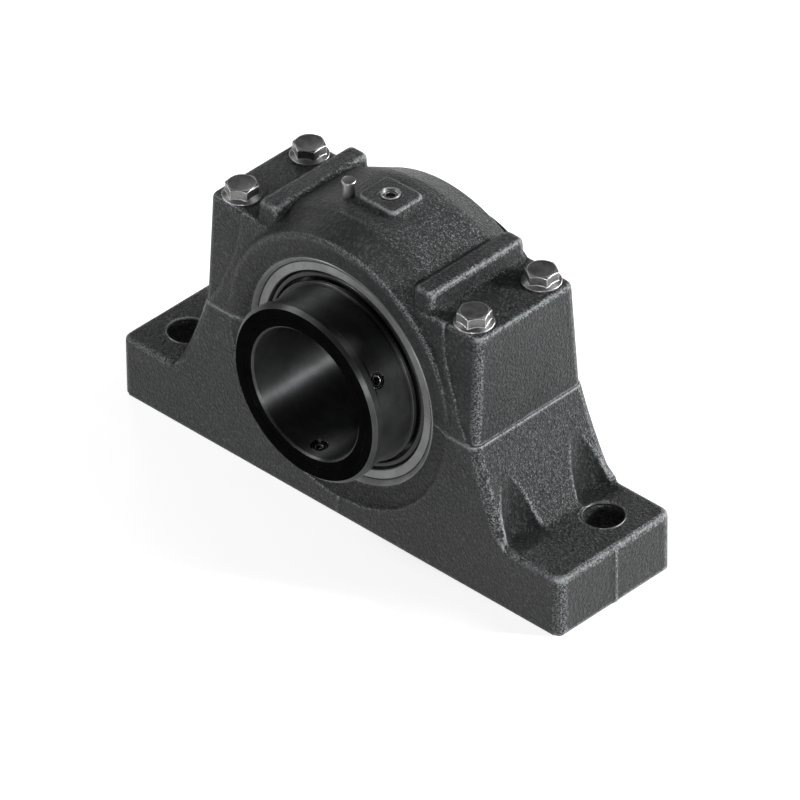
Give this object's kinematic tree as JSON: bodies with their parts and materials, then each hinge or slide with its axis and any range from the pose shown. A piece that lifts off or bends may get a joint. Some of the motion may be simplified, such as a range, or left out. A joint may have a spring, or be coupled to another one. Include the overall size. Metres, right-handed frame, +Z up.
{
  "type": "spherical roller pillow block bearing",
  "caption": "Split pillow block with a self-aligning spherical roller insert, set-screw collars at both ends and a solid bolted cap.",
  "frame": {"origin": "on the base underside, straight below the middle of the bearing", "axes": "+Z up, shaft bore along Y with the pictured collar at -Y, base length along X"},
  "size_m": [0.421, 0.174, 0.2455],
  "materials": {
    "cast_housing": "charcoal paint over sand-cast iron",
    "dark_bolt_steel": "dark phosphated steel",
    "bright_pin_steel": "bright turned steel",
    "bearing_steel": "ground bearing steel",
    "cage_brass": "machined",
    "seal_rubber": "satin black",
    "black_oxide_steel": "glossy black oxide"
  },
  "bodies": {
    "housing": {"base": "cast_housing", "cap": "cast_housing", "cap_bolt_left_front": "dark_bolt_steel", "cap_bolt_left_rear": "dark_bolt_steel", "cap_bolt_right_front": "dark_bolt_steel", "cap_bolt_right_rear": "dark_bolt_steel", "dowel_left": "bright_pin_steel", "dowel_right": "bright_pin_steel", "lube_plug": "dark_bolt_steel", "anti_rotation_pin": "bright_pin_steel", "outer_ring": "bearing_steel", "front_seal": "seal_rubber", "rear_seal": "seal_rubber"},
    "guide": {"guide_ring": "bearing_steel"},
    "rotor": {"inner_ring": "black_oxide_steel", "front_flinger": "black_oxide_steel", "rear_flinger": "black_oxide_steel", "front_collar": "black_oxide_steel", "rear_collar": "black_oxide_steel", "front_set_screw_a": "black_oxide_steel", "front_set_screw_b": "black_oxide_steel", "rear_set_screw_a": "black_oxide_steel", "rear_set_screw_b": "black_oxide_steel"},
    "roller_set": {"front_rollers": "bearing_steel", "rear_rollers": "bearing_steel", "front_cage": "cage_brass", "rear_cage": "cage_brass"}
  },
  "joints": [
    {"name": "self_align", "type": "hinge", "parent": "housing", "child": "guide", "pos_m": [0, 0, 0.117], "axis": [1, 0, 0], "range_deg": [-1, 1]},
    {"name": "shaft_spin", "type": "hinge", "parent": "guide", "child": "rotor", "pos_m": [0, 0, 0.117], "axis": [0, 1, 0], "continuous": true},
    {"name": "cage_orbit", "type": "hinge", "parent": "guide", "child": "roller_set", "pos_m": [0, 0, 0.117], "axis": [0, 1, 0], "continuous": true}
  ],
  "couplings": [
    {"joint": "cage_orbit", "follows": "shaft_spin", "ratio": 0.4269}
  ]
}
